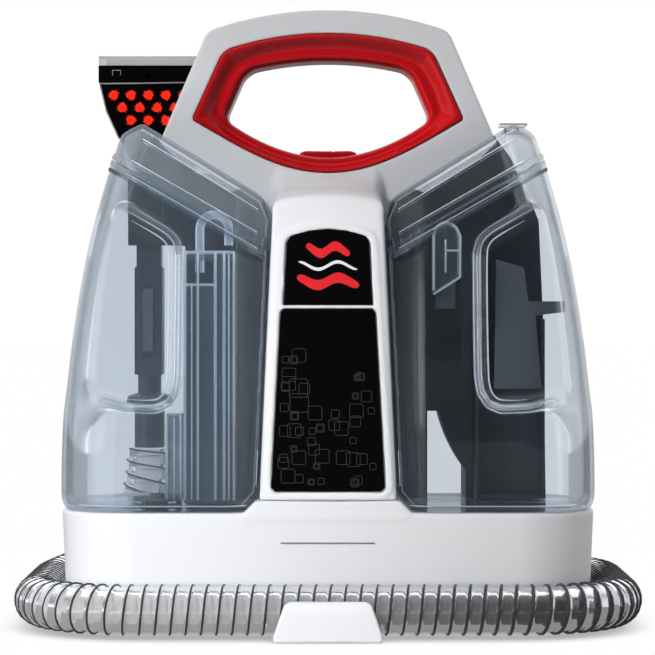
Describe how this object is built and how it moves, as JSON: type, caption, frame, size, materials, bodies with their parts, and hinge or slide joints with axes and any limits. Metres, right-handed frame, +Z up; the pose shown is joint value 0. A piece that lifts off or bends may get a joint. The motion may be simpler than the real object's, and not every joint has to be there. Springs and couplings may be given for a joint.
{
  "type": "portable spot extractor",
  "caption": "Household spot extractor: white body with red carry grip, two lift-off smoked tanks, corrugated hose wrapped round the base and a brush-headed spray tool.",
  "frame": {"origin": "centre of the base between the four feet, on the floor plane", "axes": "+Z up, -Y is the front of the machine, +X is the viewer's right when facing the front (recovery tank side)"},
  "size_m": [0.348, 0.2268, 0.3468],
  "materials": {
    "white_abs": "gloss",
    "red_abs": "gloss",
    "black_gloss": "high gloss",
    "dark_plastic": "satin",
    "grey_plastic": "satin",
    "tank_clear": "smoke tinted clear plastic",
    "clear_plastic": "clear plastic",
    "hose_vinyl": "clear corrugated vinyl",
    "black_rubber": "matte",
    "steel": "brushed",
    "brass_fan": "satin",
    "filter_foam": "open cell foam",
    "bristle_red": "nylon tufts",
    "cord_rubber": "satin",
    "float_white": "satin"
  },
  "bodies": {
    "machine": {"base_shell": "white_abs", "bottom_plate": "dark_plastic", "rubber_feet": "black_rubber", "base_screws": "steel", "hose_clip": "white_abs", "upper_housing": "white_abs", "handle_grip": "red_abs", "badge_plate": "black_gloss", "front_panel": "black_gloss", "switch_body": "dark_plastic", "rear_housing": "dark_plastic", "rear_cover": "dark_plastic", "cover_screws": "steel", "exhaust_grille": "dark_plastic", "exhaust_filter": "filter_foam", "vacuum_motor": "steel", "motor_mount": "black_rubber", "fan_shroud": "dark_plastic", "pump_body": "dark_plastic", "pump_tube": "clear_plastic", "wire_harness": "cord_rubber", "duct_gasket": "black_rubber", "valve_receiver": "dark_plastic", "cord_hook_lower": "dark_plastic", "power_cord": "cord_rubber", "strain_relief": "black_rubber", "plug": "cord_rubber", "hose_cuff": "dark_plastic", "flex_hose": "hose_vinyl", "tool_holster": "dark_plastic"},
    "clean_tank_assembly": {"clean_tank": "tank_clear", "clean_tank_lid": "tank_clear", "clean_lid_seal": "black_rubber", "clean_tank_column": "clear_plastic", "clean_vent_tube": "clear_plastic"},
    "fill_cap_assembly": {"fill_cap": "grey_plastic", "fill_cap_seal": "black_rubber", "valve_spring": "steel"},
    "fill_valve_assembly": {"fill_valve": "grey_plastic", "valve_seal": "black_rubber"},
    "recovery_tank_assembly": {"recovery_tank": "tank_clear", "recovery_tank_lid": "tank_clear", "recovery_lid_seal": "black_rubber", "separator_box": "dark_plastic", "baffle_plate": "grey_plastic", "float_cage": "clear_plastic"},
    "float_body": {"float": "float_white"},
    "drain_cap_body": {"drain_cap": "clear_plastic"},
    "switch_button": {"power_switch": "red_abs"},
    "fan": {"impeller": "brass_fan"},
    "plunger": {"pump_plunger": "steel"},
    "cord_hook": {"cord_hook_upper": "dark_plastic"},
    "spray_tool": {"tool_body": "grey_plastic", "trigger_pin": "steel"},
    "tool_trigger": {"trigger": "grey_plastic"},
    "brush_head": {"tool_head": "black_gloss", "head_lip": "clear_plastic", "bristles": "bristle_red"},
    "latch_button": {"head_latch": "grey_plastic"}
  },
  "joints": [
    {"name": "clean_tank_lift", "type": "slide", "parent": "machine", "child": "clean_tank_assembly", "axis": [0, 0, 1], "range_m": [0, 0.3]},
    {"name": "fill_cap_turn", "type": "hinge", "parent": "clean_tank_assembly", "child": "fill_cap_assembly", "pos_m": [-0.095, -0.03, 0.06], "axis": [0, 0, 1], "range_deg": [0, 120]},
    {"name": "fill_valve_open", "type": "slide", "parent": "fill_cap_assembly", "child": "fill_valve_assembly", "axis": [0, 0, 1], "range_m": [0, 0.003], "stiffness_N_per_m": 200, "springref_m": -0.004, "deforming": ["valve_spring"]},
    {"name": "recovery_tank_lift", "type": "slide", "parent": "machine", "child": "recovery_tank_assembly", "axis": [0, 0, 1], "range_m": [0, 0.3]},
    {"name": "float_rise", "type": "slide", "parent": "recovery_tank_assembly", "child": "float_body", "axis": [0, 0, 1], "range_m": [0, 0.016]},
    {"name": "drain_cap_flip", "type": "hinge", "parent": "recovery_tank_assembly", "child": "drain_cap_body", "pos_m": [0.1116, 0, 0.2795], "axis": [0, 1, 0], "range_deg": [0, 100]},
    {"name": "power_button_press", "type": "slide", "parent": "machine", "child": "switch_button", "axis": [0, 0, -1], "range_m": [0, 0.0015], "stiffness_N_per_m": 600, "springref_m": -0.001},
    {"name": "impeller_spin", "type": "hinge", "parent": "machine", "child": "fan", "pos_m": [0.101, 0.05, 0.13], "axis": [0, 0, 1], "continuous": true},
    {"name": "pump_stroke", "type": "slide", "parent": "machine", "child": "plunger", "axis": [0, 1, 0], "range_m": [0, 0.004]},
    {"name": "cord_hook_swivel", "type": "hinge", "parent": "machine", "child": "cord_hook", "pos_m": [0.034, 0.078, 0.214], "axis": [0, 1, 0], "range_deg": [0, 180]},
    {"name": "spray_tool_unhook", "type": "slide", "parent": "machine", "child": "spray_tool", "axis": [0, 1, 0], "range_m": [0, 0.05]},
    {"name": "trigger_squeeze", "type": "hinge", "parent": "spray_tool", "child": "tool_trigger", "pos_m": [-0.107, 0.0845, 0.184], "axis": [1, 0, 0], "range_deg": [0, 9], "stiffness_Nm_per_rad": 0.4, "springref_deg": -171.89},
    {"name": "brush_head_release", "type": "slide", "parent": "spray_tool", "child": "brush_head", "axis": [0, 0, 1], "range_m": [0, 0.08]},
    {"name": "latch_press", "type": "slide", "parent": "spray_tool", "child": "latch_button", "axis": [0, -1, 0], "range_m": [0, 0.001], "stiffness_N_per_m": 500, "springref_m": -0.001}
  ]
}
